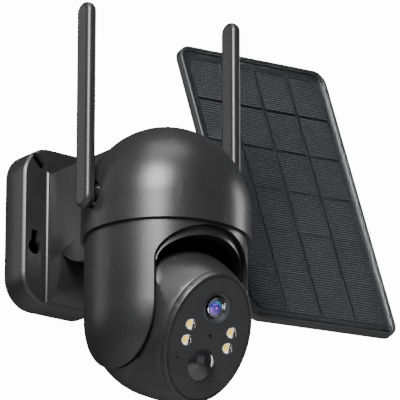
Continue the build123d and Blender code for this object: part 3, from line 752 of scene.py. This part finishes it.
@dataclass
class SolarPanel:
    """The solar panel and its adjustable bracket."""

    centre: Point = (144.3, -67.0, 45.1)
    lean: float = 16.0
    turn: float = 4.2
    width: float = 127.7
    height: float = 205.8
    columns: int = 4
    rows: int = 6
    column_gap: float = 3.4
    row_gap: float = 0.8
    margin: tuple[float, float] = (15.0, 17.0)
    corner_cut: float = 6.5
    fingers_per_cell: float = 16.5
    sheet_inset: float = 9.6
    sheet_level: float = -2.75
    back: float = -5.2
    place: Matrix = field(init=False)

    def __post_init__(self) -> None:
        """Works out where the panel's face stands: local Z points out of it and local Y up it."""
        turn, lean = math.radians(self.turn), math.radians(self.lean)
        across = Vector((math.cos(turn), math.sin(turn) * math.sin(lean), math.sin(turn) * math.cos(lean)))
        out = Vector((0.0, -math.cos(lean), math.sin(lean)))
        up = out.cross(across)
        turned = Matrix((across, up, out)).transposed().to_4x4()
        self.place = shift(*self.centre) @ turned

    def build(self) -> None:
        """Dresses the panel and bracket and adds the fine pieces."""
        refine("panel_frame", Finish.FRAME, "panel", 0.3)
        dress(Finish.COVER_GLASS, "panel_glass")
        dress(Finish.BACK, "panel_back_cover", "junction_box")
        dress(Finish.ZINC, "panel_mount_plate", "tilt_fork", "swivel_block", "panel_wall_base")
        dress(Finish.STEEL, "tilt_bolt", "swivel_pin")
        dress(Finish.DARK, "lock_knob")
        self.cells()
        self.screws()
        self.gland()

    def cells(self) -> None:
        """Builds the cells, with cut corners on the outer ones, over a black backsheet."""
        wide = (self.width - self.margin[0] - self.column_gap * (self.columns - 1)) / self.columns
        tall = (self.height - self.margin[1] - self.row_gap * (self.rows - 1)) / self.rows
        finish = SolarCell("silicon_cell", self.place, tall / self.fingers_per_cell * MM).material()
        bm = bmesh.new()
        for column in range(self.columns):
            for row in range(self.rows):
                x = (column - (self.columns - 1) / 2) * (wide + self.column_gap)
                y = (row - (self.rows - 1) / 2) * (tall + self.row_gap)
                self.cell(bm, x, y, wide, tall)
        bmesh.ops.transform(bm, matrix=self.place, verts=bm.verts)
        piece("solar_cell_strips", bm, finish, "panel", ("solar_cells",))
        sheet = bmesh.new()
        size = (self.width - self.sheet_inset, self.height - self.sheet_inset, 0.3)
        block(sheet, size, self.place @ shift(0, 0, self.sheet_level))
        piece("panel_backsheet", sheet, PAINTS.get(Finish.BACKSHEET), "panel")

    def cell(self, bm: bmesh.types.BMesh, x: float, y: float, wide: float, tall: float) -> None:
        """Adds one cell. A cell at a corner of the panel has that corner cut.

        Args:
            bm: the mesh to add to, in the panel's own frame.
            x: its centre across the panel, in millimetres.
            y: its centre up the panel, in millimetres.
            wide: its width, in millimetres.
            tall: its height, in millimetres.
        """
        size = Matrix.Diagonal((wide * MM, tall * MM, 0.3 * MM, 1.0))
        made = bmesh.ops.create_cube(bm, size=1.0, matrix=shift(x, y, -2.3) @ size)["verts"]
        last = (abs(x) > wide * 1.2, abs(y) > tall * 2.2)
        if all(last):
            def outer(v: bmesh.types.BMVert) -> bool:
                """True for a vertex on the cell's outer corner."""
                return v.co.x * x > x * x * MM and v.co.y * y > y * y * MM

            cut = {e for v in made if outer(v) for e in v.link_edges if outer(e.other_vert(v))}
            bmesh.ops.bevel(bm, geom=list(cut), offset=self.corner_cut * MM, segments=1, profile=0.5,
                            affect="EDGES", material=-1)

    def screws(self) -> None:
        """Builds the screws of the back cover and of the junction box."""
        places = [(x, y, self.back) for x in (-54.0, 54.0) for y in (-92.0, -30.0, 30.0, 92.0)]
        places += [(x, y, self.back - 8.0) for x in (-16.5, 16.5) for y in (-65.5, -46.5)]
        heads = []
        for x, y, z in places:
            at = self.place @ shift(x, y, z) @ Matrix.Rotation(math.pi, 4, "X")
            dome = [(0, 0.55), (0.5, 0.6), (0.9, 1.15), (1.6, 1.0), (2.3, 0.55), (2.5, 0.0), (2.4, -0.4),
                    (0, -0.4)]
            heads.append(spun(dome, at, 24))
            cross = bmesh.new()
            block(cross, (2.0, 0.45, 0.3), at @ shift(0, 0, 0.72), 0.05)
            block(cross, (0.45, 2.0, 0.3), at @ shift(0, 0, 0.72), 0.05)
            heads.append(cross)
        piece("panel_back_screws", join(heads), PAINTS.get(Finish.SCREW), "panel")

    def gland(self) -> None:
        """Builds the hexagon nut round the panel's outlet."""
        at = self.place @ shift(0, -71.0, self.back - 4.0) @ Matrix.Rotation(math.pi / 2, 4, "X")
        bm = bmesh.new()
        made = bmesh.ops.create_cone(bm, cap_ends=True, segments=6, radius1=5.4 * MM, radius2=5.4 * MM,
                                     depth=3.6 * MM, matrix=at)
        edges = list({e for v in made["verts"] for e in v.link_edges})
        bmesh.ops.bevel(bm, geom=edges, offset=0.4 * MM, segments=2, profile=0.5, affect="EDGES",
                        material=-1)
        piece("outlet_gland_nut", bm, PAINTS.get(Finish.DARK), "panel")


# ------------------------------------------------------------------ studio
@dataclass(frozen=True)
class Softbox:
    """One soft lamp, aimed at the camera body."""

    name: str
    towards: Point
    reach: float
    size: tuple[float, float]
    power: float

    def build(self, target: Vector) -> None:
        """Adds the lamp.

        Args:
            target: the point it is aimed at.
        """
        data = bpy.data.lights.new(self.name, "AREA")
        data.shape, data.size, data.size_y = "RECTANGLE", *self.size
        data.energy = self.power
        lamp = bpy.data.objects.new(self.name, data)
        away = Vector(self.towards).normalized()
        lamp.location = target + away * self.reach
        lamp.rotation_mode = "QUATERNION"
        lamp.rotation_quaternion = away.to_track_quat("Z", "Y")
        bpy.context.scene.collection.objects.link(lamp)


@dataclass
class Studio:
    """Pale floor, soft lamps, pale surroundings and the camera."""

    floor_depth: float = 0.95
    azimuth: float = -38.0
    elevation: float = -18.0
    distance: float = 2.3
    focal: float = 335.3
    aim: tuple[float, float, float] = (97.1, 25.2, -102.5)
    roll: float = 0.0
    lamps: tuple[Softbox, ...] = (
        Softbox("key_softbox", (-0.64, -0.53, 0.52), 1.3, (0.44, 0.66), 42.0),
        Softbox("left_strip", (-0.88, -0.40, 0.20), 1.2, (0.14, 0.9), 3.0),
        Softbox("overhead_softbox", (-0.15, -0.20, 0.95), 1.4, (0.8, 0.5), 6.0),
        Softbox("front_fill", (0.10, -1.0, -0.10), 1.8, (1.2, 1.0), 2.4),
        Softbox("right_rim", (0.95, -0.20, 0.15), 1.4, (0.20, 0.9), 8.0),
        Softbox("back_left", (-0.65, 0.70, 0.30), 1.3, (0.5, 0.8), 1.6),
        Softbox("low_fill", (-0.3, -0.7, -0.65), 1.3, (0.9, 0.6), 0.6),
    )

    def build(self) -> None:
        """Builds everything round the object."""
        self.floor()
        self.surroundings()
        target = Vector((0.03, -0.10, -0.02))
        for lamp in self.lamps:
            lamp.build(target)
        self.camera()

    def floor(self) -> None:
        """Builds the plain floor, well below, because the object hangs on a wall."""
        bm = bmesh.new()
        bmesh.ops.create_grid(bm, x_segments=1, y_segments=1, size=6.0,
                              matrix=Matrix.Translation((0, 0, -self.floor_depth)))
        mesh = bpy.data.meshes.new("studio_floor")
        bm.to_mesh(mesh)
        bm.free()
        paint = Moulding("pale_floor", (0.78, 0.78, 0.77), 0.7, 60.0, 0.02, 0.02, 0.0).material()
        mesh.materials.append(paint)
        made = bpy.data.objects.new("studio_floor", mesh)
        bpy.context.scene.collection.objects.link(made)

    def surroundings(self) -> None:
        """Makes the world pale to look at and dim as a light, so that black gloss stays black."""
        world = bpy.data.worlds.new("studio")
        bpy.context.scene.world = world
        world.use_nodes = True
        world.node_tree.nodes.clear()
        g = Graph(world.node_tree)
        seen = g.add("Background", {"Color": (1.0, 1.0, 1.0, 1.0), "Strength": 14.0})
        light = g.add("Background", {"Color": (0.95, 0.97, 1.0, 1.0), "Strength": 0.07})
        path = g.add("LightPath")
        mixed = g.add("MixShader", {0: path.outputs["Is Camera Ray"], 1: light.outputs[0],
                                    2: seen.outputs[0]})
        g.add("OutputWorld", {"Surface": mixed.outputs[0]})

    def camera(self) -> None:
        """Places the camera below and to the left, looking up at the object."""
        a, e = math.radians(self.azimuth), math.radians(self.elevation)
        back = Vector((math.sin(a) * math.cos(e), -math.cos(a) * math.cos(e), math.sin(e)))
        turn = (-back).to_track_quat("-Z", "Y")
        right, up = turn @ Vector((1, 0, 0)), turn @ Vector((0, 1, 0))
        across, high, deep = (value * MM for value in self.aim)
        data = bpy.data.cameras.new("studio_camera")
        data.lens, data.sensor_width = self.focal, 36.0
        data.clip_start, data.clip_end = 0.05, 30.0
        camera = bpy.data.objects.new("studio_camera", data)
        camera.location = right * across + up * high - back * deep + back * self.distance
        camera.rotation_mode = "QUATERNION"
        tilted = Matrix.Rotation(math.radians(self.roll), 3, back).to_quaternion()
        camera.rotation_quaternion = tilted @ turn
        bpy.context.scene.collection.objects.link(camera)
        bpy.context.scene.camera = camera


def main() -> None:
    """Builds the sub-assemblies, then the studio."""
    logging.basicConfig(level=logging.INFO, format="%(message)s")
    for assembly in (WallBody(), Antennas(), Yoke(), Head(), SolarPanel(), Studio()):
        assembly.build()
        log.info("built %s", type(assembly).__name__)


if __name__ == "__main__":
    main()
